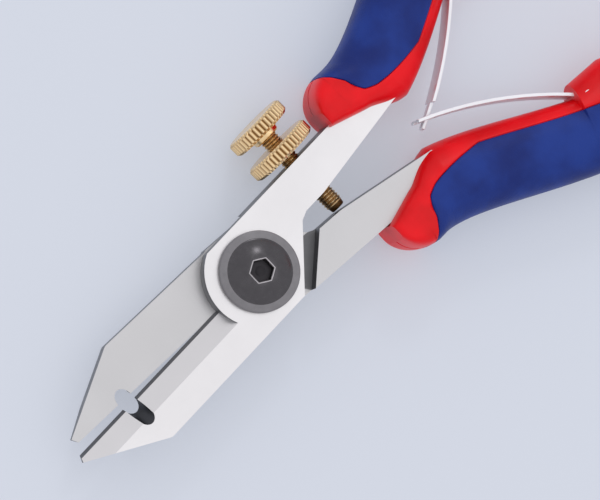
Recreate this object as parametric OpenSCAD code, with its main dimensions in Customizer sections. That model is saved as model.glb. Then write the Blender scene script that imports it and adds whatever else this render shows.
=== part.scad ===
// Wire stripping shears for fine wires: two equal halves, one turned over, that lap
// at a screwed joint, with an adjustable stop screw, an opening spring and two-part
// grips. +X runs along the tool to the handles, +Z out of its front, and the origin
// lies on the pivot axis in the plane that the tool rests on. The tool is drawn
// closed on its stop.

/* [Jaws] */
// Pivot axis to the cutting edges' ends
jaw_l = 36.4; // [32:0.1:44]
// Width of the head across its back edges
head_w = 14.3; // [13.4:0.1:17.2]
// Thickness of one half where the two lap
lap_t = 2.8; // [2.4:0.1:3.5]
// Pivot axis to the corner where the back edge starts to taper
taper_x = 25.7; // [20:0.1:27]
// Corner radius there
taper_r = 1.2; // [0.4:0.1:2]
// Width of the blunt tip
tip_w = 1; // [0.6:0.1:2]
// Front cutting edge's distance past the pivot's centre line
front_edge = 0.4; // [0:0.1:2]
// Rear cutting edge's distance past the pivot's centre line
rear_edge = 0.25; // [0:0.05:2]
// How much shorter the rear jaw is
rear_short = 1.2; // [0:0.1:2]
// Turn of the rear jaw towards the front one
rear_turn = 2.3; // [0:0.1:3]
// Height of the upright land that backs each edge
land_h = 0.7; // [0.4:0.1:1.2]
// Width of the bevel behind the land
bevel_w = 2.8; // [2.4:0.1:4]

/* [Stripping notch] */
// Diameter of the notch
notch_d = 2.4; // [1.6:0.1:3]
// Pivot axis to the notch
notch_x = 26.2; // [20:0.1:30]
// Slope of the notch through the blade
notch_tilt = 42; // [20:1:50]

/* [Joint] */
// Angle between the two edges when the tool stands on its stop
rest_gape = 5.5; // [4:0.1:8]
// Radius of the raised boss round the joint
boss_r = 7.9; // [7.4:0.1:9]
// Where the boss's sloping cheek would cross the centre line
cheek_x = 9.4; // [9:0.1:10.4]
// Where the thick limb's shoulder would cross the centre line
shoulder_x = 12; // [11.6:0.1:13]
// Pivot screw's shank
pivot_d = 5; // [4:0.1:6]
// Flange of the pivot screw
flange_d = 11.8; // [10:0.1:13]
// Thickness of the flange
flange_t = 1; // [0.6:0.1:1.4]
// Dome of the pivot screw's head
dome_d = 9.4; // [8:0.1:10]
// Height of the head above the front face
dome_h = 2.7; // [2.2:0.1:3]
// Hexagon socket, across its flats
socket_af = 3; // [2:0.1:4]
// Depth of the socket
socket_h = 1.6; // [1:0.1:2]
// Hexagon nut, across its flats
nut_af = 8; // [7.4:0.1:9]
// Thickness of the nut
nut_t = 2.3; // [1.8:0.1:3]
// Diameter of the washer under the nut
washer_d = 10; // [9:0.1:12]
// Thickness of the washer
washer_t = 0.4; // [0.3:0.1:1]

/* [Stop screw] */
// Pivot axis to the point where the screw leaves the front limb
stop_x = 15.6; // [14:0.1:18]
// Thread of the screw
stop_d = 3; // [2.5:0.1:3.4]
// Diameter of its reduced point
point_d = 2.2; // [1.5:0.1:2.4]
// Length of the reduced point
point_l = 0.6; // [0.3:0.1:1]
// Diameter of the knob
knob_d = 9.8; // [8:0.1:11]
// Thickness of the knob
knob_t = 2.2; // [1.6:0.1:3]
// Ridges round the knob
knob_teeth = 41; // [30:1:48]
// Diameter of the lock nut
lock_d = 10.9; // [9:0.1:11]
// Thickness of the lock nut
lock_t = 2.2; // [1.6:0.1:3]
// Ridges round the lock nut
lock_teeth = 46; // [32:1:52]
// Depth of the ridges
tooth_h = 0.32; // [0.2:0.02:0.4]
// Rim chamfer of the knob and the lock nut
rim = 0.35; // [0.2:0.05:0.5]
// Lock nut's height over the limb
lock_gap = 1.25; // [1:0.05:2]
// Neck between the lock nut and the knob
neck_h = 2.35; // [2:0.05:3]
// Length of the plain collar under the knob
collar_h = 0.9; // [0.5:0.1:1]
// Diameter of that collar
collar_d = 4.2; // [3.8:0.1:5]

/* [Handles] */
// Pivot axis to the ends of the handles
handle_l = 92.5; // [84:0.5:112]
// How much farther back the front half's grip starts, clear of the lock nut
grip_lag = 3; // [2.6:0.1:4]
// Further setback of the front grip
grip_back = 0.6; // [0:0.1:1]
// How far the front grip lies towards the rear one
grip_drop = 0.6; // [0:0.1:1]
// Width of a grip
grip_w = 12.2; // [11.8:0.1:14.6]
// Thickness of a grip, which sets the tool's height at rest
grip_t = 11; // [10.4:0.1:13]
// Share of its width that a grip loses at its end
grip_taper = 0.14; // [0:0.02:0.3]
// Swell of the handle, as the height of its curve's third point
handle_swell = 27.5; // [24:0.5:32]
// Height of the handle's end over the half's own centre line
handle_end_y = 19; // [15:0.5:24]
// Radius of the grip's front collar
collar_r = 4.3; // [3.6:0.1:4.6]
// Width of the hard rib along the grip's inner side
rib_w = 2.2; // [1.8:0.1:2.6]
// Wall of the soft cover round the outer side
cover_wall = 2; // [1.6:0.1:2.4]
// Wall of the soft cover on the front and back
cover_skin = 2.3; // [1.8:0.1:2.5]
// Width of the steel tang in a grip
tang_w = 4.6; // [3.6:0.1:5]
// Thickness of the tang
tang_t = 3.6; // [3:0.1:4]

/* [Opening spring] */
// Width of a leaf
leaf_w = 4.4; // [3.6:0.1:4.8]
// Thickness of a leaf
leaf_t = 0.5; // [0.4:0.05:0.6]
// Bow of a leaf out of line
leaf_bow = 1.2; // [0.8:0.1:2.4]
// Pivot axis to the point where the leaves cross
apex_x = 34.2; // [32:0.1:36]
// How far that point lies towards the front half
apex_y = -1; // [-1.5:0.1:1.5]
// Pin that holds a leaf's eye
pin_d = 1.2; // [1:0.1:1.4]
// Length of the pin
pin_l = 7.6; // [6:0.1:9]
// Place of the pin along a half
pin_x = 54.5; // [53:0.1:56]
// Place of the pin across a half
pin_y = 12; // [11.6:0.1:12.4]
// Width of the tongue at the end of the front leaf
tongue_w = 1.8; // [1.4:0.1:2.2]

/* [Clearances] */
// Running clearance round a shaft or thread, on the radius
run_gap = 0.05; // [0.03:0.01:0.09]
// Gap between the two lapped faces
lap_gap = 0.04; // [0.02:0.01:0.1]
// Gap between the stop screw's point and the rear limb
stop_gap = 0.12; // [0.08:0.02:0.3]
// Side clearance of the tongue in its slot
slot_gap = 0.3; // [0.25:0.05:0.4]

/* [Hidden] */
$fn = 64;
eps = 0.01;
big = 60;
hw = head_w / 2;
mid_z = grip_t / 2;

// Each half is drawn level, with its jaw at -X and its limb above the centre line.
limb_in = 1.05;                       // Height of the limb's inner edge near the joint
limb_flat_x = 15;                     // Where that edge starts to rise
limb_rise = [32.6, 3.1];              // Where it runs into the grip
root_end = [[33, hw], [36, 7.4]];     // End of the thick limb inside the grip
tip_lean = 0.5;                       // How far the blunt tip leans forward
land_lean = 0.45;                     // How far the upright land leans back

// Centre line of a handle: one cubic curve, and the grip's edges run beside it.
// $shift moves the start of the front grip back and that of the rear grip forward.
steps = 28;
rib_from = 0.15;                      // Share of the line where the inner edge starts
cover_from = 0.09;                    // Where the cover starts
cover_to = 0.97;                      // Where the cover ends
tang_to = 0.86;                       // Where the tang ends
collar_turn = 206;                    // Angle where the collar's arc meets the limb
cover_rise = 5.5;                     // Lift of the cover's edge at the front
rise_to = 0.24;                       // Where that lift ends
crown = [[0, 2.0], [0.7, 0.9], [1.9, 0]];  // Height and inset of each step of a grip's edge

// Leaf springs, from the pin to the crossing, in the level frame of their half
pin = [pin_x, pin_y];
eye_r = pin_d / 2 + run_gap + leaf_t;
past_apex = 1.7;                      // Leaf's length past the crossing
slot_l = 3.4;                         // Length of the slot round the crossing
hump_r = 5.4;                         // Hump of the grip over the leaf's pin
hump_at = pin + [1.2, 2.6];
pocket_w = 2.6;                       // Width of the way out for the leaf
pocket_t = leaf_w + 0.7;

// Stop screw: how far its point reaches from the limb's outer edge to the rear limb
rear_a = turned([limb_flat_x, -limb_in], -rest_gape);
rear_b = turned([limb_rise[0] - grip_lag / 2, -limb_rise[1]], -rest_gape);
rear_slope = (rear_b[1] - rear_a[1]) / (rear_b[0] - rear_a[0]);
stop_reach = min(reach(-point_d / 2), reach(point_d / 2)) - stop_gap;
knob_z = lock_gap + lock_t + neck_h;

function turned(p, a) = [p[0] * cos(a) - p[1] * sin(a), p[0] * sin(a) + p[1] * cos(a)];
function jaw_turn() = $side > 0 ? 0 : -rear_turn;
function reach(s) = hw - rear_a[1] - rear_slope * (stop_x + s - rear_a[0]);
function drop() = $side > 0 ? grip_drop : 0;
function line() = [[26 + $shift, 7.6 - drop()], [40 + $shift, 7 - drop()], [58 + $shift / 2, handle_swell - drop()],
    [handle_l - grip_w / 2 + 0.8, handle_end_y - drop()]];
function on_line(t) = let (p = line()) pow(1 - t, 3) * p[0] + 3 * t * pow(1 - t, 2) * p[1]
    + 3 * t * t * (1 - t) * p[2] + pow(t, 3) * p[3];
function along(t) = let (p = line(), d = pow(1 - t, 2) * (p[1] - p[0])
    + 2 * t * (1 - t) * (p[2] - p[1]) + t * t * (p[3] - p[2])) d / norm(d);
function collar_at() = line()[0] + [-1.3, grip_w / 2 - collar_r];
function beside(t, off) = on_line(t) + off * [-along(t)[1], along(t)[0]];
function half_grip(t) = grip_w / 2 * (1 - grip_taper * t * t);
function arc(c, r, a, b, n) = [for (i = [0:n]) c + r * [cos(a + (b - a) * i / n), sin(a + (b - a) * i / n)]];
function spread(a, b, n) = [for (i = [0:n]) a + (b - a) * i / n];
function end_angle() = atan2(along(1)[1], along(1)[0]);

function apex() = turned([apex_x, $side * apex_y], -rest_gape / 2);
function leaf_chord() = norm(pin - apex());
function leaf_dir() = (apex() - pin) / leaf_chord();
function leaf_turn() = atan2(leaf_dir()[1], leaf_dir()[0]);
function leaf_r() = (leaf_chord() * leaf_chord() / 4 + leaf_bow * leaf_bow) / (2 * leaf_bow);
function leaf_half() = asin(leaf_chord() / 2 / leaf_r());

// Point of a leaf at share s of its arc, moved sideways by off
function leaf_point(s, off) = let (
    m = (pin + apex()) / 2, n = [-leaf_dir()[1], leaf_dir()[0]],
    c = m - (leaf_r() - leaf_bow) * n, a = atan2(n[1], n[0]) + leaf_half() * (1 - 2 * s))
    c + (leaf_r() + off) * [cos(a), sin(a)];
function leaf_share(l) = l / (2 * leaf_r() * leaf_half() * PI / 180);

module on_front() {
    $side = 1;
    $shift = grip_lag / 2 + grip_back;
    translate([0, 0, mid_z]) rotate([0, 0, rest_gape / 2]) children();
}

module on_rear() {
    $side = -1;
    $shift = -grip_lag / 2;
    translate([0, 0, mid_z]) rotate([0, 0, -rest_gape / 2]) rotate([180, 0, 0]) children();
}

module on_stop() {
    on_front() translate([stop_x, hw, 0]) rotate([-90, 0, 0]) children();
}

module upright(t) {
    translate([0, 0, -t / 2]) linear_extrude(t) children();
}

// ---- Steel halves ----

module jaw_plan(edge) {
    long = jaw_l - ($side > 0 ? 0 : rear_short);
    taper = taper_x - ($side > 0 ? 0 : rear_short + 1.4);
    run = [long + tip_lean - taper, hw + edge - tip_w];
    bend = atan2(run[1], run[0]);
    back = taper_r * tan(bend / 2);
    polygon(concat(
        [[0, edge], [-long, edge], [-long - tip_lean, edge - tip_w]],
        arc([-taper + back, taper_r - hw], taper_r, 270 - bend, 270, 6),
        [[0, -hw]]));
}

// Section of the blade, looking along it: land, bevel and flat back
module blade_section(edge) {
    far = jaw_l + 2 * tip_lean;
    translate([-far, 0, 0]) rotate([90, 0, 90]) linear_extrude(far + eps) polygon([
        [-hw, 0], [edge, 0], [edge - land_lean, land_h], [edge - land_lean - bevel_w, lap_t], [-hw, lap_t]]);
}

module head_plan() {
    intersection() {
        circle(boss_r);
        translate([-boss_r, -hw]) square([boss_r + eps, head_w]);
    }
    polygon([[0, hw], [shoulder_x, hw], [shoulder_x, limb_in], [cheek_x + 1.9, limb_in],
        [cheek_x + 0.5, 0.5], [cheek_x - hw, -hw], [0, -hw]]);
}

module limb_plan() {
    back = [$side * grip_lag / 2, 0];
    polygon([[shoulder_x - hw, hw], root_end[0] + back, root_end[1] + back, limb_rise + back,
        [limb_flat_x, limb_in], [shoulder_x - limb_in, limb_in]]);
}

module tang_plan() {
    polygon(concat([for (t = spread(0.04, tang_to, steps)) beside(t, -tang_w / 2)],
        arc(on_line(tang_to), tang_w / 2, end_angle() - 90, end_angle() + 90, 8),
        [for (t = spread(tang_to, 0.04, steps)) beside(t, tang_w / 2)]));
}

module half(edge) {
    difference() {
        union() {
            rotate(jaw_turn()) intersection() {
                translate([0, 0, lap_gap / 2]) linear_extrude(lap_t - lap_gap / 2) jaw_plan(edge);
                blade_section(edge);
            }
            translate([0, 0, lap_gap / 2]) linear_extrude(lap_t - lap_gap / 2) head_plan();
            steel_in_grip();
        }
        rotate(jaw_turn()) translate([-notch_x, edge, 0]) rotate([notch_tilt, 0, 0])
            cylinder(d = notch_d, h = 4 * lap_t, center = true);
    }
}

module steel_in_grip() {
    upright(2 * lap_t) limb_plan();
    upright(tang_t) tang_plan();
}

module front_half() {
    color("gainsboro") difference() {
        on_front() half(front_edge);
        cylinder(d = pivot_d + 2 * run_gap, h = big);
        on_stop() cylinder(d = stop_d, h = big, center = true);
    }
}

module rear_half() {
    color("silver") difference() {
        on_rear() half(rear_edge);
        cylinder(d = pivot_d, h = big);
    }
}

// ---- Joint ----

module pivot_screw() {
    face_z = mid_z + lap_t + lap_gap;
    rise = dome_h - flange_t;
    dome_r = (dome_d * dome_d / 4 + rise * rise) / (2 * rise);
    color([0.2, 0.2, 0.21]) difference() {
        union() {
            translate([0, 0, mid_z - lap_t - washer_t - nut_t]) cylinder(d = pivot_d, h = nut_t + washer_t + 2 * lap_t + 1);
            translate([0, 0, face_z]) cylinder(d = flange_d, h = flange_t);
            translate([0, 0, face_z + flange_t]) intersection() {
                translate([0, 0, rise - dome_r]) sphere(dome_r);
                cylinder(d = dome_d, h = rise);
            }
        }
        translate([0, 0, face_z + dome_h - socket_h]) cylinder(d = socket_af / cos(30), h = big, $fn = 6);
    }
}

module pivot_washer() {
    color([0.3, 0.3, 0.32]) translate([0, 0, mid_z - lap_t - washer_t]) difference() {
        cylinder(d = washer_d, h = washer_t);
        translate([0, 0, -eps]) cylinder(d = pivot_d, h = washer_t + 2 * eps);
    }
}

module pivot_nut() {
    color([0.25, 0.25, 0.27]) translate([0, 0, mid_z - lap_t - washer_t - nut_t]) difference() {
        cylinder(d = nut_af / cos(30), h = nut_t, $fn = 6);
        translate([0, 0, -eps]) cylinder(d = pivot_d, h = nut_t + 2 * eps);
    }
}

// ---- Stop screw ----

module knurled(d, t, teeth) {
    intersection() {
        linear_extrude(t) polygon([for (i = [0:2 * teeth - 1])
            (d / 2 - (i % 2) * tooth_h) * [cos(180 * i / teeth), sin(180 * i / teeth)]]);
        rotate_extrude() polygon([[0, 0], [d / 2 - rim, 0], [d / 2 + eps, rim], [d / 2 + eps, t - rim],
            [d / 2 - rim, t], [0, t]]);
    }
}

module stop_screw_stud() {
    color("goldenrod") on_stop() {
        translate([0, 0, -stop_reach]) cylinder(d = point_d, h = point_l + eps);
        translate([0, 0, point_l - stop_reach]) cylinder(d = stop_d - 2 * run_gap, h = stop_reach - point_l + knob_z + knob_t - 0.5);
    }
}

module stop_screw_knob() {
    color("gold") on_stop() difference() {
        union() {
            translate([0, 0, knob_z]) knurled(knob_d, knob_t, knob_teeth);
            translate([0, 0, knob_z - collar_h]) cylinder(d = collar_d, h = collar_h + eps);
        }
        translate([0, 0, knob_z - collar_h - eps]) cylinder(d = stop_d, h = collar_h + knob_t - 0.4);
    }
}

module lock_nut() {
    color("gold") on_stop() translate([0, 0, lock_gap]) difference() {
        knurled(lock_d, lock_t, lock_teeth);
        translate([0, 0, -eps]) cylinder(d = stop_d, h = lock_t + 2 * eps);
    }
}

// ---- Opening spring ----

module leaf_strip(a, b, t = leaf_t) {
    polygon(concat([for (s = spread(a, b, steps)) leaf_point(s, t / 2)],
        [for (s = spread(b, a, steps)) leaf_point(s, -t / 2)]));
}

module leaf_blank() {
    difference() {
        union() {
            translate([pin_x, pin_y, -leaf_w / 2]) cylinder(r = eye_r, h = leaf_w);
            upright(leaf_w) leaf_strip(0, 1 + leaf_share(past_apex));
        }
        translate([pin_x, pin_y, -leaf_w]) cylinder(d = pin_d + 2 * run_gap, h = 2 * leaf_w);
    }
}

module front_leaf() {
    color("whitesmoke") on_front() difference() {
        leaf_blank();
        for (s = [-1, 1]) translate([0, 0, s * (tongue_w + leaf_w) / 2 - leaf_w / 2])
            linear_extrude(leaf_w) translate(leaf_point(1 - leaf_share(slot_l / 2 + 0.7), 0)) rotate(leaf_turn() + leaf_half())
            translate([0, -3]) square([8, 6]);
    }
}

module rear_leaf() {
    color("white") on_rear() difference() {
        leaf_blank();
        upright(tongue_w + 2 * slot_gap) translate(apex())
            rotate(leaf_turn() - leaf_half()) square([slot_l, 2], center = true);
    }
}

module leaf_pin() {
    translate([pin_x, pin_y, -pin_l / 2]) cylinder(d = pin_d, h = pin_l);
}

module front_leaf_pin() {
    color("lightsteelblue") on_front() leaf_pin();
}

module rear_leaf_pin() {
    color("lightsteelblue") on_rear() leaf_pin();
}

// ---- Grips ----

module grip_plan(inset) {
    polygon(concat(
        arc(collar_at(), collar_r - inset, collar_turn, 90, 10),
        [for (t = spread(0.03, 1, steps)) beside(t, half_grip(t) - inset)],
        arc(on_line(1), half_grip(1) - inset, end_angle() + 75, end_angle() - 75, 10),
        [for (t = spread(1, rib_from, steps)) beside(t, inset - half_grip(t))]));
    intersection() {
        translate(hump_at) circle(hump_r - inset);
        translate([0, pin_y - hump_r]) square([2 * big, 2 * hump_r]);
    }
}

// Zone of the soft cover: behind the collar and outside the rib
module cover_zone() {
    polygon(concat(
        [line()[0] + [-3.6, grip_w], line()[0] + [0.2, 2.8]],
        arc(beside(cover_from, 0.6), 2, 190, 262, 6),
        [for (t = spread(cover_from, cover_to, steps))
            beside(t, rib_w - half_grip(t) + cover_rise * pow(max(0, 1 - t / rise_to), 2))],
        [beside(cover_to, grip_w), beside(0.6, 2 * grip_w), beside(0.2, 2 * grip_w)]));
}

// Stacked slices round off the edges of a grip's front and back
module crowned(zone) {
    for (i = [0:len(crown) - 1]) upright(grip_t - 2 * crown[i][0]) intersection() {
        grip_plan(crown[i][1]);
        if (zone) cover_zone();
    }
}

module core_slab() {
    upright(grip_t - 2 * cover_skin) intersection() {
        grip_plan(cover_wall);
        cover_zone();
    }
}

module grip_cover() {
    difference() {
        crowned(true);
        core_slab();
        steel_in_grip();
        leaf_pin();
    }
}

module leaf_pocket() {
    upright(pocket_t) {
        translate(pin) circle(eye_r + 0.35);
        translate(pin) rotate(leaf_turn() + leaf_half() + 6)
            translate([0, -pocket_w / 2]) square([0.66 * grip_w, pocket_w]);
        leaf_strip(0, 0.8, leaf_t + 0.7);
    }
}

module grip_core() {
    difference() {
        crowned(false);
        grip_cover();
        steel_in_grip();
        leaf_pocket();
        leaf_pin();
    }
}

module front_grip_core() {
    color([0.84, 0.1, 0.12]) on_front() grip_core();
}

module rear_grip_core() {
    color([0.84, 0.1, 0.12]) on_rear() grip_core();
}

module front_grip_cover() {
    color([0.12, 0.2, 0.58]) on_front() grip_cover();
}

module rear_grip_cover() {
    color([0.12, 0.2, 0.58]) on_rear() grip_cover();
}

front_half();
rear_half();
pivot_screw();
pivot_washer();
pivot_nut();
stop_screw_stud();
stop_screw_knob();
lock_nut();
front_leaf();
rear_leaf();
front_leaf_pin();
rear_leaf_pin();
front_grip_core();
rear_grip_core();
front_grip_cover();
rear_grip_cover();
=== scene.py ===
import math
import bmesh
import bpy
from mathutils import Matrix, Vector


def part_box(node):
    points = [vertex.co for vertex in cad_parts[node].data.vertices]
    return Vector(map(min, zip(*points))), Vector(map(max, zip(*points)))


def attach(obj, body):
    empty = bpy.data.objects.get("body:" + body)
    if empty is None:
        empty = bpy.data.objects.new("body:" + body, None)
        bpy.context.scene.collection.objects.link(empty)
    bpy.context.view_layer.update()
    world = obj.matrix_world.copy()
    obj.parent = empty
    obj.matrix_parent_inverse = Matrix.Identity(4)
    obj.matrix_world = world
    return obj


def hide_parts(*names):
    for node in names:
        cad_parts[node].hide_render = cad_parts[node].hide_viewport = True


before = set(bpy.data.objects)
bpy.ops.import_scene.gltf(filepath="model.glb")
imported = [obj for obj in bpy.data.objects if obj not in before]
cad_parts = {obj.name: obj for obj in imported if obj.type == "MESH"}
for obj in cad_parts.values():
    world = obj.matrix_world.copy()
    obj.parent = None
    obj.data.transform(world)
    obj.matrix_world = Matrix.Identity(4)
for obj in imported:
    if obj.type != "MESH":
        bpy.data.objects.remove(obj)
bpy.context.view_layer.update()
mm = 0.001

# Values that several pieces share, in millimetres and degrees, as the CAD has them
tool = {
    "midPlane": 5.5,      # height of the tool's middle plane over its rest plane
    "halfGape": 2.75,     # each half is turned this far from level at rest
    "headHalf": 7.15,     # half of the head's width
    "stopX": 15.6,        # stop screw's place along the front half
    "screwFace": 8.34,    # top of the front blade, where the pivot screw's head sits
}


def linear(r, g, b):
    return tuple((c / 255 / 12.92) if c < 11 else ((c / 255 + 0.055) / 1.055) ** 2.4 for c in (r, g, b)) + (1,)


# A piece drawn level is brought to its place in the tool by one of these
lift = Matrix.Translation((0, 0, tool["midPlane"]))
onFront = lift @ Matrix.Rotation(math.radians(tool["halfGape"]), 4, "Z")
onRear = lift @ Matrix.Rotation(math.radians(-tool["halfGape"]), 4, "Z") @ Matrix.Rotation(math.pi, 4, "X")
onStop = onFront @ Matrix.Translation((tool["stopX"], tool["headHalf"], 0)) @ Matrix.Rotation(-math.pi / 2, 4, "X")


class Nodes:
    def __init__(self, tree):
        self.tree = tree

    def add(self, kind, settings=None, out=0, **inputs):
        node = self.tree.nodes.new(kind)
        for key, value in (settings or {}).items():
            if key == "stops":
                ramp = node.color_ramp
                while len(ramp.elements) < len(value):
                    ramp.elements.new(0.5)
                for element, (at, colour) in zip(ramp.elements, value):
                    element.position, element.color = at, colour
            else:
                setattr(node, key, value)
        for key, value in inputs.items():
            name = key.replace("_", " ")
            socket = node.inputs[int(key[1:])] if key[1:].isdigit() else node.inputs[name]
            if isinstance(value, Value):
                self.tree.links.new(value.socket, socket)
            elif isinstance(value, bpy.types.NodeSocket):
                self.tree.links.new(value, socket)
            else:
                socket.default_value = value
        return Value(self, node.outputs[out])


class Value:
    def __init__(self, nodes, socket):
        self.nodes, self.socket = nodes, socket

    def do(self, operation, a, b, clamp=False):
        return self.nodes.add("ShaderNodeMath", {"operation": operation, "use_clamp": clamp}, i0=a, i1=b)

    def __add__(self, other):
        return self.do("ADD", self, other)

    def __radd__(self, other):
        return self.do("ADD", other, self)

    def __sub__(self, other):
        return self.do("SUBTRACT", self, other)

    def __rsub__(self, other):
        return self.do("SUBTRACT", other, self)

    def __mul__(self, other):
        return self.do("MULTIPLY", self, other)

    def __rmul__(self, other):
        return self.do("MULTIPLY", other, self)

    def step(self, low, high):
        return self.nodes.add("ShaderNodeMapRange", {"interpolation_type": "SMOOTHSTEP"},
                              Value=self, From_Min=low, From_Max=high)


def newMaterial(name):
    material = bpy.data.materials.new(name)
    material.use_nodes = True
    tree = material.node_tree
    tree.nodes.clear()
    nodes = Nodes(tree)
    shader = tree.nodes.new("ShaderNodeBsdfPrincipled")
    output = tree.nodes.new("ShaderNodeOutputMaterial")
    tree.links.new(shader.outputs[0], output.inputs[0])
    return material, nodes, shader


def feed(nodes, shader, **links):
    for key, value in links.items():
        socket = shader.inputs[key.replace("_", " ")]
        if isinstance(value, Value):
            nodes.tree.links.new(value.socket, socket)
        else:
            socket.default_value = value


def objectSpace(nodes, turn=0, stretch=(1, 1, 1)):
    place = nodes.add("ShaderNodeTexCoord", out=3)
    return nodes.add("ShaderNodeMapping", Vector=place, Rotation=(0, 0, math.radians(turn)), Scale=stretch)


def mixColour(nodes, factor, a, b):
    return nodes.add("ShaderNodeMix", {"data_type": "RGBA"}, out=2, i0=factor, i6=a, i7=b)


def noise(nodes, at, scale, detail=2, rough=0.5):
    return nodes.add("ShaderNodeTexNoise", Vector=at, Scale=scale, Detail=detail, Roughness=rough)


# Finishes and painted light: colours are written as they should show; sides, notch, lap and socket are painted shade,
# flange and rim are painted light, and brass's dark colour is painted shade in its hollows
finishesAndPaintedLight = {
    "polished": {"colour": (226, 224, 225), "roughness": 0.32, "grain": 0.02},
    "ground": {"colour": (200, 199, 200), "roughness": 0.38, "grain": 0.12},
    # painted shade: side walls darker, standing in for their dark reflections
    "sides": {"colour": (120, 121, 124), "roughness": 0.42, "grain": 0.1},
    # painted shade: the notch's wall darker still, as shade in the recess
    "notch": {"colour": (74, 75, 79), "roughness": 0.5, "grain": 0.2},
    # painted shadow: lap floor darker, as the shadow of the wall beside it
    "lap": {"colour": (128, 128, 130), "roughness": 0.5, "grain": 0.15},
    "blackened": {"colour": (82, 80, 83), "roughness": 0.26},
    # painted light: the screw's flange ring lighter than its dome, a lit copy of the black steel
    "flange": {"colour": (130, 128, 131), "roughness": 0.4},
    # painted highlight: bright ring round the socket's mouth
    "rim": {"colour": (176, 172, 175), "roughness": 0.3},
    # painted shade: the socket's inside darker than the dome
    "socket": {"colour": (62, 60, 63), "roughness": 0.5},
    # brass: 'dark' is painted shade in the knurl and thread hollows
    "brass": {"colour": (250, 220, 172), "dark": (120, 84, 48), "roughness": 0.24},
    "spring": {"colour": (236, 236, 240), "roughness": 0.5, "grain": 0.02},
    "red": {"colour": (242, 6, 22), "dark": (214, 4, 14), "roughness": 0.36, "grain": 0.16, "shine": 0.24},
    "blue": {"colour": (22, 54, 138), "dark": (8, 34, 108), "roughness": 0.45, "grain": 0.4, "shine": 0.24},
}


def steelFinish(name, key, marks):
    facts = finishesAndPaintedLight[key]
    material, nodes, shader = newMaterial(name)
    across = objectSpace(nodes, 45, (9000, 260, 900)) if marks else objectSpace(nodes, 0, (900, 900, 900))
    lines = noise(nodes, across, 1, 3, 0.6)
    cloud = noise(nodes, objectSpace(nodes), 60, 2)
    base = Vector(linear(*facts["colour"])[:3])
    colour = mixColour(nodes, cloud.step(0.35, 0.65), (*(base * 0.96), 1), (*(base * 1.02), 1))
    rough = facts["roughness"] + (lines - 0.5) * 0.14 + (cloud - 0.5) * 0.05
    bump = nodes.add("ShaderNodeBump", Strength=facts["grain"], Distance=0.00005, Height=lines)
    feed(nodes, shader, Base_Color=colour, Roughness=rough, Normal=bump, Metallic=1.0)
    return material


def blackFinish(name, key):
    facts = finishesAndPaintedLight[key]
    material, nodes, shader = newMaterial(name)
    cloud = noise(nodes, objectSpace(nodes), 900, 4, 0.6)
    base = Vector(linear(*facts["colour"])[:3])
    colour = mixColour(nodes, cloud, (*(base * 0.8), 1), (*(base * 1.2), 1))
    bump = nodes.add("ShaderNodeBump", Strength=0.12, Distance=0.0001, Height=cloud)
    feed(nodes, shader, Base_Color=colour, Roughness=facts["roughness"] + (cloud - 0.5) * 0.15, Normal=bump,
         Metallic=0.85)
    return material


def brassFinish():
    facts = finishesAndPaintedLight["brass"]
    material, nodes, shader = newMaterial("turnedBrass")
    cloud = noise(nodes, objectSpace(nodes), 1400, 3)
    # painted shade: towards the bottoms of the knurl and thread hollows the brass turns dark brown, and rougher
    hollow = nodes.add("ShaderNodeAttribute", {"attribute_name": "hollow"}, out=2)
    base = linear(*facts["colour"])
    light = mixColour(nodes, cloud, base, tuple(c * 0.86 for c in base[:3]) + (1,))
    colour = mixColour(nodes, hollow, light, linear(*facts["dark"]))
    bump = nodes.add("ShaderNodeBump", Strength=0.08, Distance=0.00005, Height=cloud)
    feed(nodes, shader, Base_Color=colour, Roughness=facts["roughness"] + hollow * 0.2, Normal=bump, Metallic=1.0)
    return material


def plasticFinish(name, key, scale):
    facts = finishesAndPaintedLight[key]
    material, nodes, shader = newMaterial(name)
    at = objectSpace(nodes)
    grain = noise(nodes, at, scale, 2, 0.6)
    cloud = noise(nodes, at, 140, 3)
    colour = mixColour(nodes, cloud.step(0.3, 0.7), linear(*facts["dark"]), linear(*facts["colour"]))
    bump = nodes.add("ShaderNodeBump", Strength=facts["grain"], Distance=0.00012, Height=grain)
    feed(nodes, shader, Base_Color=colour, Roughness=facts["roughness"] + (cloud - 0.5) * 0.1, Normal=bump)
    shader.inputs["Specular IOR Level"].default_value = facts["shine"]
    return material


materials = {
    "polished": steelFinish("polishedSteel", "polished", False),
    "ground": steelFinish("groundSteel", "ground", True),
    "sides": steelFinish("steelSidesPaintedShade", "sides", False),
    "notch": steelFinish("notchSteelPaintedShade", "notch", False),
    "lap": steelFinish("lapSteelPaintedShadow", "lap", False),
    "blackened": blackFinish("blackenedSteel", "blackened"),
    "flange": blackFinish("flangeSteelPaintedLight", "flange"),
    "rim": blackFinish("rimSteelPaintedHighlight", "rim"),
    "socket": blackFinish("socketSteelPaintedShade", "socket"),
    "brass": brassFinish(),
    "spring": steelFinish("springSteel", "spring", False),
    "red": plasticFinish("redPlastic", "red", 2600),
    "blue": plasticFinish("blueSoftPlastic", "blue", 3800),
}
print("materials made")


def finishPiece(name, bm, body, finish, replaced, place=None, sharp=32):
    if place is not None:
        bm.transform(place)
        bm.transform(Matrix.Scale(mm, 4))
    mesh = bpy.data.meshes.new(name)
    bm.to_mesh(mesh)
    bm.free()
    mesh.shade_smooth()
    mesh.set_sharp_from_angle(angle=math.radians(sharp))
    for face in mesh.polygons:
        if face.area > 6 * mm * mm:
            face.use_smooth = False
    for key in [finish] if isinstance(finish, str) else finish:
        mesh.materials.append(materials[key])
    piece = bpy.data.objects.new(name, mesh)
    bpy.context.scene.collection.objects.link(piece)
    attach(piece, body)
    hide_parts(*replaced)
    return piece


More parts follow.
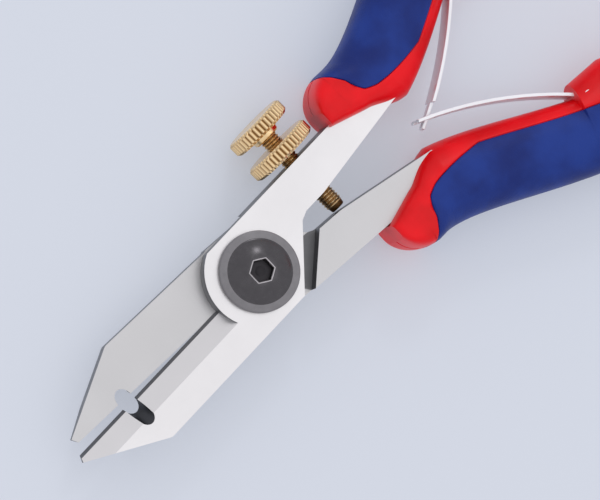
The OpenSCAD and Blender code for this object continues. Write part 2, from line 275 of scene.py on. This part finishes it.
# A sheet of quads, laid out by a function of two shares and then welded
def sheetOf(along, around, placePoint, weld=0.0004):
    bm = bmesh.new()
    bmesh.ops.create_grid(bm, x_segments=along, y_segments=around, size=0.5)
    for v in bm.verts:
        v.co = placePoint(round((v.co.x + 0.5) * along), round((v.co.y + 0.5) * around))
    bmesh.ops.remove_doubles(bm, verts=bm.verts, dist=weld)
    bmesh.ops.recalc_face_normals(bm, faces=bm.faces)
    return bm


# A copy of a CAD piece with its edges eased
def easedCopy(node, width, segments=2, angle=24):
    bm = bmesh.new()
    bm.from_mesh(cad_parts[node].data)
    bmesh.ops.remove_doubles(bm, verts=bm.verts, dist=2e-6)
    bmesh.ops.dissolve_limit(bm, angle_limit=math.radians(1), verts=bm.verts, edges=bm.edges)
    edges = [e for e in bm.edges if len(e.link_faces) == 2 and e.calc_face_angle(0) > math.radians(angle)]
    bmesh.ops.bevel(bm, geom=edges, affect="EDGES", offset=width * mm, segments=segments, profile=0.5,
                    material=-1, clamp_overlap=True)
    bmesh.ops.recalc_face_normals(bm, faces=bm.faces)
    return bm


halves = {"easing": 0.09, "notchX": 26.2, "notchEdge": (0.4, 0.25), "notchTilt": 42, "notchRadius": 1.2, "rearTurn": 2.3, "lapDepth": 1.5, "landLean": 0.6}


# Painted shade: side walls are darker than the ground faces, standing in for their dark reflections, the notch's wall
# is darker still as shade in the recess, and lap floors are darker as the painted shadow of the walls beside them
def markFaces(bm, side):
    front = side == "front"
    level = onFront if front else onRear @ Matrix.Rotation(math.radians(-halves["rearTurn"]), 4, "Z")
    tilt = Matrix.Rotation(math.radians(halves["notchTilt"]), 4, "X")
    bore = level @ Matrix.Translation((-halves["notchX"], halves["notchEdge"][0 if front else 1], 0)) @ tilt
    home = bore.inverted()
    top = max(v.co.z for v in bm.verts) if not front else min(v.co.z for v in bm.verts)
    for face in bm.faces:
        at = home @ (face.calc_center_median() / mm)
        # painted shade: faces of the notch's bore get the darkest steel
        if math.hypot(at.x, at.y) < halves["notchRadius"] + 0.04 and abs(at.z) < 8:
            face.material_index = 2
        # painted shade: steep walls, and the land leaning up to landLean, get the darker sides colour
        elif abs(face.normal.z) < (halves["landLean"] if front and face.calc_center_median().x < -0.009 and face.normal.y > 0.3
                                   else 0.35) and face.calc_center_median().x < 0.034:
            face.material_index = 1
        # painted shadow: recessed lap floors beside the walls get the darker lap colour
        elif (face.normal.z if not front else -face.normal.z) > 0.9 and abs(face.calc_center_median().z - top) > halves["lapDepth"] * mm:
            face.material_index = 3 if 0.004 < face.calc_center_median().x < 0.03 else 0


for side, finish in (("front", "polished"), ("rear", "ground")):
    bm = easedCopy(side + "_half", halves["easing"])
    markFaces(bm, side)
    finishPiece(side + "Half", bm, side + "_handle", [finish, "sides", "notch", "lap"], [side + "_half"])
print("steel halves done")

pivot = {"flangeRadius": 5.9, "flangeHeight": 1, "domeRadius": 4.7, "domeHeight": 2.7, "socketFlats": 3,
         "socketDepth": 1.6, "shaftRadius": 2.5, "shaftBottom": 2.7 - 0.4 - 2.3, "drillRadius": 0.75}


# Profile of the pivot screw from the middle of its socket outwards, with how hexagonal each ring is
def screwProfile():
    face, dome = tool["screwFace"], pivot["domeHeight"]
    rise = dome - pivot["flangeHeight"]
    ball = (pivot["domeRadius"] ** 2 + rise ** 2) / (2 * rise)
    top, floor, flats = face + dome, face + dome - pivot["socketDepth"], pivot["socketFlats"] / 2
    onDome = lambda r: top - ball + math.sqrt(ball * ball - r * r)
    rings = [(0.0, floor - 0.45, 0), (pivot["drillRadius"], floor - 0.02, 0), (pivot["drillRadius"] + 0.05, floor, 0),
             (flats - 0.04, floor, 1), (flats, floor + 0.05, 1), (flats, onDome(flats) - 0.26, 1),
             (flats + 0.02, onDome(flats) - 0.16, 1), (flats + 0.1, onDome(flats) - 0.07, 1),
             (flats + 0.24, onDome(flats + 0.3) - 0.005, 0.9), (2.3, onDome(2.3), 0.35)]
    rings += [(r, onDome(r), 0) for r in (2.7, 3.1, 3.5, 3.9, 4.2, 4.45, 4.6)]
    ledge, rim = face + pivot["flangeHeight"], pivot["flangeRadius"]
    rings += [(4.68, ledge + 0.05, 0), (4.78, ledge, 0), (rim - 0.18, ledge - 0.03, 0), (rim - 0.07, ledge - 0.08, 0),
              (rim, ledge - 0.2, 0), (rim, face + 0.1, 0), (rim - 0.08, face, 0), (pivot["shaftRadius"], face, 0)]
    shaft, bottom = pivot["shaftRadius"], pivot["shaftBottom"]
    return rings + [(shaft, bottom + 0.3, 0), (shaft - 0.3, bottom, 0), (0.0, bottom, 0)]


def hexReach(angle):
    return 1 / math.cos((angle + math.pi / 6) % (math.pi / 3) - math.pi / 6)


profile = screwProfile()


def screwPoint(i, j):
    r, z, hexagonal = profile[i]
    a = 2 * math.pi * j / 96
    r *= 1 + hexagonal * (hexReach(a) - 1)
    return Vector((r * math.cos(a), r * math.sin(a), z))


screw = sheetOf(len(profile) - 1, 96, screwPoint)
for face in screw.faces:
    at = face.calc_center_median()
    # painted light: the flange ring gets the lighter copy of the black steel
    if math.hypot(at.x, at.y) > pivot["domeRadius"] + 0.06 and at.z > tool["screwFace"]:
        face.material_index = 1
    # painted highlight: the ring round the socket's mouth gets the light rim colour
    elif 1.49 < math.hypot(at.x, at.y) < 2.02 and at.z > tool["screwFace"] + 2.1:
        face.material_index = 2
    # painted shade: the socket's inside gets the darker socket colour
    elif math.hypot(at.x, at.y) < 1.8 and at.z > tool["screwFace"]:
        face.material_index = 3
finishPiece("pivotScrew", screw, "rear_handle", ["blackened", "flange", "rim", "socket"],
            ["pivot_screw"], Matrix.Identity(4), sharp=38)
for node, piece in (("pivot_washer", "pivotWasher"), ("pivot_nut", "pivotNut")):
    finishPiece(piece, easedCopy(node, 0.12, 3), "rear_handle", "blackened", [node])
print("joint done")

stop = {"threadRadius": 1.45, "pitch": 0.5, "threadDepth": 0.27, "pointRadius": 1.1, "gap": 1.25, "nutThick": 2.2,
        "nutRadius": 5.44, "nutTeeth": 46, "neck": 2.35, "knobThick": 2.2, "knobRadius": 4.9, "knobTeeth": 41,
        "toothDepth": 0.3, "rim": 0.34, "collar": 0.9, "collarRadius": 2.1}
nodeLow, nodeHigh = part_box("stop_screw_stud")
studReach = ((onStop.inverted() @ (nodeLow / mm)).z, (onStop.inverted() @ (nodeHigh / mm)).z)
studLow, studHigh = min(studReach), stop["gap"] + stop["nutThick"] + stop["neck"] + stop["knobThick"] - 0.55


# One ridged wheel: a profile spun round, its rim waved into teeth
def wheelSheet(low, thick, radius, teeth, inner, collar=None):
    rim, depth = stop["rim"], stop["toothDepth"]
    rings = [(inner, low, 0), (inner + 0.1, low - 0.0, 0)]
    if collar:
        rings = [(inner, low - collar[1], 0), (collar[0] - 0.25, low - collar[1], 0), (collar[0], low - collar[1] + 0.2, 0),
                 (collar[0] + 0.15, low - 0.05, 0), (collar[0] + 0.3, low, 0)]
    rings += [(radius - rim - depth - 0.25, low, 0), (radius - rim - 0.1, low + 0.02, 0.25), (radius - 0.12, low + rim - 0.06, 0.9),
              (radius, low + rim + 0.06, 1), (radius, low + thick - rim - 0.06, 1),
              (radius - 0.12, low + thick - rim + 0.06, 0.9), (radius - rim - 0.1, low + thick - 0.02, 0.25),
              (radius - rim - depth - 0.25, low + thick, 0), (inner if not collar else 0.5, low + thick, 0)]
    rings += [(inner, low, 0)] if not collar else [(0.0, low + thick - 0.05, 0), (0.0, low - 0.2, 0), (inner, low - 0.2, 0),
                                                   (inner, low - collar[1], 0)]
    steps = teeth * 10

    def wheelPoint(i, j):
        r, z, ridged = rings[i]
        share = (j / 10) % 1
        wave = 0.5 - 0.5 * math.cos(2 * math.pi * share)
        r -= ridged * depth * (1 - wave ** 0.6)
        a = 2 * math.pi * j / steps
        return Vector((r * math.cos(a), r * math.sin(a), z))
    bm = sheetOf(len(rings) - 1, steps, wheelPoint)
    # painted shade: how deep each point lies between the teeth, for darkening the hollows
    layer = bm.verts.layers.float.new("hollow")
    for v in bm.verts:
        r = math.hypot(v.co.x, v.co.y)
        v[layer] = min(1, max(0, (radius - r) / depth)) * 0.75 if r > radius - depth - 0.02 and low + 0.1 < v.co.z < low + thick - 0.1 else 0
    return bm


knobLow = stop["gap"] + stop["nutThick"] + stop["neck"]
knob = wheelSheet(knobLow, stop["knobThick"], stop["knobRadius"], stop["knobTeeth"], 1.52, (stop["collarRadius"], stop["collar"]))
finishPiece("stopScrewKnob", knob, "stop_knob", "brass", ["stop_screw_knob"], onStop)
finishPiece("lockNut", wheelSheet(stop["gap"], stop["nutThick"], stop["nutRadius"], stop["nutTeeth"], 1.5), "lock_nut",
            "brass", ["lock_nut"], onStop)


def studSheet():
    root, crest, pitch = stop["threadRadius"] - stop["threadDepth"], stop["threadRadius"], stop["pitch"]
    steps = round((studHigh - studLow - 0.6) / pitch * 10)
    span = (studHigh - studLow - 0.6) / steps

    def studPoint(i, j):
        a = 2 * math.pi * j / 40
        if i < 3:
            r, z = ((0, studLow), (stop["pointRadius"] - 0.12, studLow), (stop["pointRadius"], studLow + 0.12))[i]
        elif i > steps + 3:
            r, z = 0, studHigh
        else:
            z = studLow + 0.6 + (i - 3) * span
            share = (z / pitch + j / 40) % 1
            fade = min(1, (i - 3) / 8)
            r = root + (crest - root) * (1 - abs(2 * share - 1)) ** 0.8 * fade
            r = max(r, stop["pointRadius"])
        return Vector((r * math.cos(a), r * math.sin(a), z))
    bm = sheetOf(steps + 4, 40, studPoint)
    # painted shade: how deep each point lies in the thread, for darkening its roots
    layer = bm.verts.layers.float.new("hollow")
    for v in bm.verts:
        v[layer] = min(1, max(0, (crest - math.hypot(v.co.x, v.co.y)) / (crest - root)))
    return bm


finishPiece("stopScrewStud", studSheet(), "stop_stud", "brass", ["stop_screw_stud"], onStop, sharp=50)
print("stop screw done")

for side in ("front", "rear"):
    finishPiece(side + "Leaf", easedCopy(side + "_leaf", 0.07), side + "_leaf", "spring",
                [side + "_leaf"])
    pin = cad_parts[side + "_leaf_pin"]
    pin.data.materials.clear()
    pin.data.materials.append(materials["spring"])
print("spring done")

grip = {
    "width": 12.2, "thick": 10.96, "taper": 0.14, "length": 92.5, "swell": 27.5, "endY": 19, "shift": {"front": (2.1, 0.6), "rear": (-1.5, 0)},
    "collarRadius": 4.3, "coverDepth": 0.7, "coverWall": 0.9, "groove": 0.3,
    "sink": 0.05, "humpY": 9.2, "lipX": 50.9,
}


def curvePoint(points, t):
    a, b, c, d = points
    return a * (1 - t) ** 3 + b * 3 * t * (1 - t) ** 2 + c * 3 * t * t * (1 - t) + d * t ** 3


def curveWay(points, t):
    a, b, c, d = points
    return ((b - a) * (1 - t) ** 2 + (c - b) * 2 * t * (1 - t) + (d - c) * t * t).normalized()


def between(x, low, high):
    t = min(1, max(0, (x - low) / (high - low)))
    return t * t * (3 - 2 * t)


# Handle of one side: its middle line, edges and the line between its two colours
class Handle:
    def __init__(self, side):
        shift, drop = grip["shift"][side]
        half = grip["width"] / 2
        self.points = [Vector((x, y - drop)) for x, y in ((26 + shift, 7.6), (40 + shift, 7),
                       (58 + shift / 2, grip["swell"]), (grip["length"] - half + 0.68, grip["endY"]))]
        self.collar = self.points[0] + Vector((-1.3, half - grip["collarRadius"]))
        self.front = self.collar.x - grip["collarRadius"] + 0.05
        self.steps = 400
        self.lengths = [0.0]
        for i in range(self.steps):
            a, b = (curvePoint(self.points, k / self.steps) for k in (i, i + 1))
            self.lengths.append(self.lengths[-1] + (b - a).length)
        self.length = self.lengths[-1]
        self.startWay = curveWay(self.points, 0)
        self.first = (self.front - self.points[0].x) / self.startWay.x

    def share(self, s):
        low, high = 0, self.steps
        while high - low > 1:
            mid = (low + high) // 2
            low, high = (mid, high) if self.lengths[mid] <= s else (low, mid)
        return (low + (s - self.lengths[low]) / (self.lengths[high] - self.lengths[low])) / self.steps

    def at(self, s):
        if s <= 0:
            return self.points[0] + self.startWay * s, self.startWay, 0
        if s >= self.length:
            way = curveWay(self.points, 1)
            return self.points[3] + way * (s - self.length), way, 1
        t = self.share(s)
        return curvePoint(self.points, t), curveWay(self.points, t), t

    # Outer and inner edges, half height and how square the section is
    def section(self, s):
        point, way, t = self.at(s)
        half = grip["width"] / 2 * (1 - grip["taper"] * t * t)
        x = point.x
        outer = half
        if x < self.collar.x:
            r = grip["collarRadius"]
            outer = self.collar.y - point.y + math.sqrt(max(0.01, r * r - (x - self.collar.x) ** 2))
        inner = half
        diagonal = between(x, self.front, self.front + 12.4)
        frontEdge = self.points[0].y - 0.3 - (x - self.front) * 0.352
        if x < self.front + 12.4:
            inner = min(half, point.y - frontEdge + 1.5 * between(x, self.front + 6, self.front + 10))
        normal = Vector((-way.y, way.x))
        middle = (outer - inner) / 2
        if grip["lipX"] < x < grip["lipX"] + 12:
            reach = (point.y - grip["humpY"] - 0.25 * max(0, x - 57)) / normal.y
            inner = max(inner, reach)
        high = grip["thick"] / 2
        d = s - self.first
        high *= 0.9 + 0.1 * (1 - (1 - min(1, d / 1.2)) ** 2) ** 0.5
        over = s - self.length
        if over > 0:
            k = max(0.0, 1 - (over / half) ** 2.3) ** (1 / 2.3)
            outer, inner, high, middle = outer * k, inner * k, high * k, middle * k
        squareOut = 4.2 - 1.7 * between(x, self.front + 3, self.front + 9)
        squareIn = 4.2 - 2.2 * between(x, self.front + 5, self.front + 10)
        return point, normal, middle, outer, inner, high, squareOut, squareIn

    # Offset of the line between the colours, from the middle line
    def parting(self, s):
        point, way, t = self.at(s)
        half = grip["width"] / 2 * (1 - grip["taper"] * t * t)
        x = point.x - self.front
        if x < 3.2:
            return None
        keys = ((3.2, 6.3), (4.5, 4.9), (5.7, 3.1), (6.3, 1.4), (7, 0.1), (8.6, -0.9), (11.2, -1.9), (13.8, -2.9),
                (16.5, -3.9), (20, -3.9))
        value = keys[-1][1]
        for (x0, y0), (x1, y1) in zip(keys, keys[1:]):
            if x0 <= x < x1:
                value = y0 + (y1 - y0) * (x - x0) / (x1 - x0)
                break
        ends = between(s, self.length - 2.2, self.length + 0.3)
        return value + ends * (half - value)


def signedPower(value, power):
    return math.copysign(abs(value) ** power, value)


handles = {side: Handle(side) for side in ("front", "rear")}


def sectionPoint(handle, facts, angle, sink=0.0):
    point, normal, middle, outer, inner, high, squareOut, squareIn = facts
    power = 2 / (squareOut if math.cos(angle) > 0 else squareIn)
    half = outer - middle if math.cos(angle) > 0 else inner + middle
    half, high = max(0.01, half - sink), max(0.01, high - sink)
    across = middle + half * signedPower(math.cos(angle), power)
    flat = point + normal * across
    return Vector((flat.x, flat.y, high * signedPower(math.sin(angle), power)))


# Angle round a section at which its surface has the given offset
def angleAt(facts, offset):
    point, normal, middle, outer, inner, high, squareOut, squareIn = facts
    half = max(0.01, outer - middle if offset > middle else inner + middle)
    share = max(-1, min(1, (offset - middle) / half))
    square = squareOut if share > 0 else squareIn
    return math.acos(signedPower(abs(share) ** (square / 2), 1) * (1 if share > 0 else -1))


def stationsOf(handle):
    out, s = [], handle.first
    while s < handle.length + grip["width"] * 0.43:
        out.append(s)
        x = s - handle.first
        lip = abs(handle.at(s)[0].x - grip["lipX"])
        s += 0.1 if x < 1.2 else 0.2 if x < 12 else 0.22 if lip < 0.8 else 0.6 if s < handle.length - 1 else 0.16
    return out


# Shares from 0 to 1, packed close at both ends
def packed(n):
    return [0.5 - 0.5 * math.cos(math.pi * (i / n) ** 1.0) for i in range(n + 1)]


def gripSheet(side, covered):
    handle = handles[side]
    stations = stationsOf(handle)
    sections = [handle.section(s) for s in stations]
    partings = [handle.parting(s) for s in stations]
    angles = [angleAt(f, p) if p is not None else 0.0 for f, p in zip(sections, partings)]
    slopes = []
    for i, p in enumerate(partings):
        a, b = max(0, i - 1), min(len(partings) - 1, i + 1)
        if partings[a] is None or partings[b] is None:
            slopes.append(0.3)
        else:
            slopes.append(math.cos(math.atan((partings[b] - partings[a]) / (stations[b] - stations[a]))))
    visible, hidden = 72, 20
    if covered:
        used = [i for i, a in enumerate(angles) if a > 0.02]
        outerShares, innerShares = packed(visible), [1 - i / hidden for i in range(hidden + 1)]

        def place(i, j):
            k = used[i]
            facts, edge = sections[k], angles[k]
            if j <= visible:
                share = outerShares[j]
                angle = edge * (2 * share - 1)
                span = min(share, 1 - share) * 2 * edge * 6 * slopes[k]
                g = grip["groove"]
                near = max(0, 1 - span / g)
                sink = grip["sink"] + g * (1 - math.sqrt(max(0, 1 - near * near)))
                return sectionPoint(handle, facts, angle * 0.997, sink)
            angle = edge * (2 * innerShares[j - visible - 1] - 1)
            return sectionPoint(handle, facts, angle * 0.99, grip["coverWall"] * min(1, edge * 3))
        total = visible + hidden + 2

        def closed(i, j):
            return place(i, 0) if j == total else place(i, j)
        bm = sheetOf(len(used) - 1, total, closed)
        bmesh.ops.holes_fill(bm, edges=[e for e in bm.edges if e.is_boundary])
    else:
        shares, hiddenShares = packed(visible), [i / hidden for i in range(hidden + 1)]

        def place(i, j):
            facts, edge = sections[i], angles[i]
            if j <= visible:
                share = shares[j]
                angle = edge + (2 * math.pi - 2 * edge) * share
                span = min(share, 1 - share) * 2 * (math.pi - edge) * 6 * slopes[i]
                near = max(0, 1 - span / grip["groove"]) if edge > 0.02 else 0
                sink = grip["sink"] + grip["groove"] * (1 - math.sqrt(max(0, 1 - near * near)))
                p = sectionPoint(handle, facts, angle, sink)
                return p
            angle = -edge + 2 * edge * hiddenShares[j - visible - 1]
            return sectionPoint(handle, facts, angle, grip["coverDepth"] * min(1, edge * 3))
        total = visible + hidden + 2

        def closed(i, j):
            return place(i, 0) if j == total else place(i, j)
        bm = sheetOf(len(stations) - 1, total, closed)
        bmesh.ops.holes_fill(bm, edges=[e for e in bm.edges if e.is_boundary])
    bmesh.ops.recalc_face_normals(bm, faces=bm.faces)
    return bm


for side, place in (("front", onFront), ("rear", onRear)):
    finishPiece(side + "GripCore", gripSheet(side, False), side + "_handle", "red",
                [side + "_grip_core"], place, sharp=40)
    finishPiece(side + "GripCover", gripSheet(side, True), side + "_handle", "blue",
                [side + "_grip_cover"], place, sharp=40)
print("grips done")

stage = {"floor": (215, 220, 231), "glow": 0.45, "worldStrength": 0.98, "overhead": 0.28, "side": 9}


def areaLight(name, at, aim, size, radiance):
    data = bpy.data.lights.new(name, "AREA")
    data.shape, data.size, data.size_y = "RECTANGLE", size[0], size[1]
    data.energy = math.pi * size[0] * size[1] * radiance
    lamp = bpy.data.objects.new(name, data)
    lamp.location = at
    lamp.rotation_euler = (Vector(aim) - Vector(at)).to_track_quat("-Z", "Y").to_euler()
    bpy.context.scene.collection.objects.link(lamp)
    return lamp


def makeStage():
    bm = bmesh.new()
    bmesh.ops.create_grid(bm, x_segments=1, y_segments=1, size=3)
    mesh = bpy.data.meshes.new("floor")
    bm.to_mesh(mesh)
    bm.free()
    material, nodes, shader = newMaterial("paleFloor")
    colour, glow = linear(*stage["floor"]), stage["glow"]
    feed(nodes, shader, Base_Color=tuple(c * (1 - glow) for c in colour[:3]) + (1,), Roughness=1.0,
         Emission_Color=tuple(c * glow for c in colour[:3]) + (1,), Emission_Strength=1.0)
    shader.inputs["Specular IOR Level"].default_value = 0
    mesh.materials.append(material)
    floor = bpy.data.objects.new("floor", mesh)
    floor.location = (0, 0, -0.0002)
    bpy.context.scene.collection.objects.link(floor)
    world = bpy.data.worlds.new("studio")
    bpy.context.scene.world = world
    world.use_nodes = True
    background = world.node_tree.nodes["Background"]
    background.inputs[0].default_value = linear(240, 240, 243)
    background.inputs[1].default_value = stage["worldStrength"]
    areaLight("overhead", (0.25, -0.1, 0.75), (0.02, 0, 0), (0.7, 0.7), stage["overhead"])
    areaLight("side", (0.46, 0.44, 0.5), (0.02, 0, 0), (0.12, 0.12), stage["side"])


makeStage()

view = {"from": (-0.2242, 0.0845, 0.9709), "distance": 0.6, "field": 0.0858, "shiftRight": 6.5, "shiftUp": 3.4}


# The camera stands off the tool's face and is turned so that the jaws point down to the left
def makeCamera():
    data = bpy.data.cameras.new("camera")
    data.sensor_width = 36
    data.lens = 36 * view["distance"] / view["field"]
    camera = bpy.data.objects.new("camera", data)
    back = Vector(view["from"]).normalized()
    faceRight, faceUp = Vector((0.7193, -0.6947, 0)), Vector((0.6947, 0.7193, 0))
    right = (faceRight - back * faceRight.dot(back)).normalized()
    tilt = faceUp.dot(right)
    c = Vector((faceRight.dot(back), faceUp.dot(back), back.z))
    right = (faceRight * c.z - Vector((0, 0, 1)) * c.x).normalized()
    up = back.cross(right).normalized()
    centre = Vector((0, 0, tool["midPlane"] * mm)) + right * view["shiftRight"] * mm + up * view["shiftUp"] * mm
    turn = Matrix((right, up, back)).transposed().to_4x4()
    camera.matrix_world = Matrix.Translation(centre + back * view["distance"]) @ turn
    data.clip_start, data.clip_end = 0.01, 10
    bpy.context.scene.collection.objects.link(camera)
    bpy.context.scene.camera = camera


makeCamera()
bpy.context.scene.view_settings.view_transform = "Standard"
print("stage and camera done")
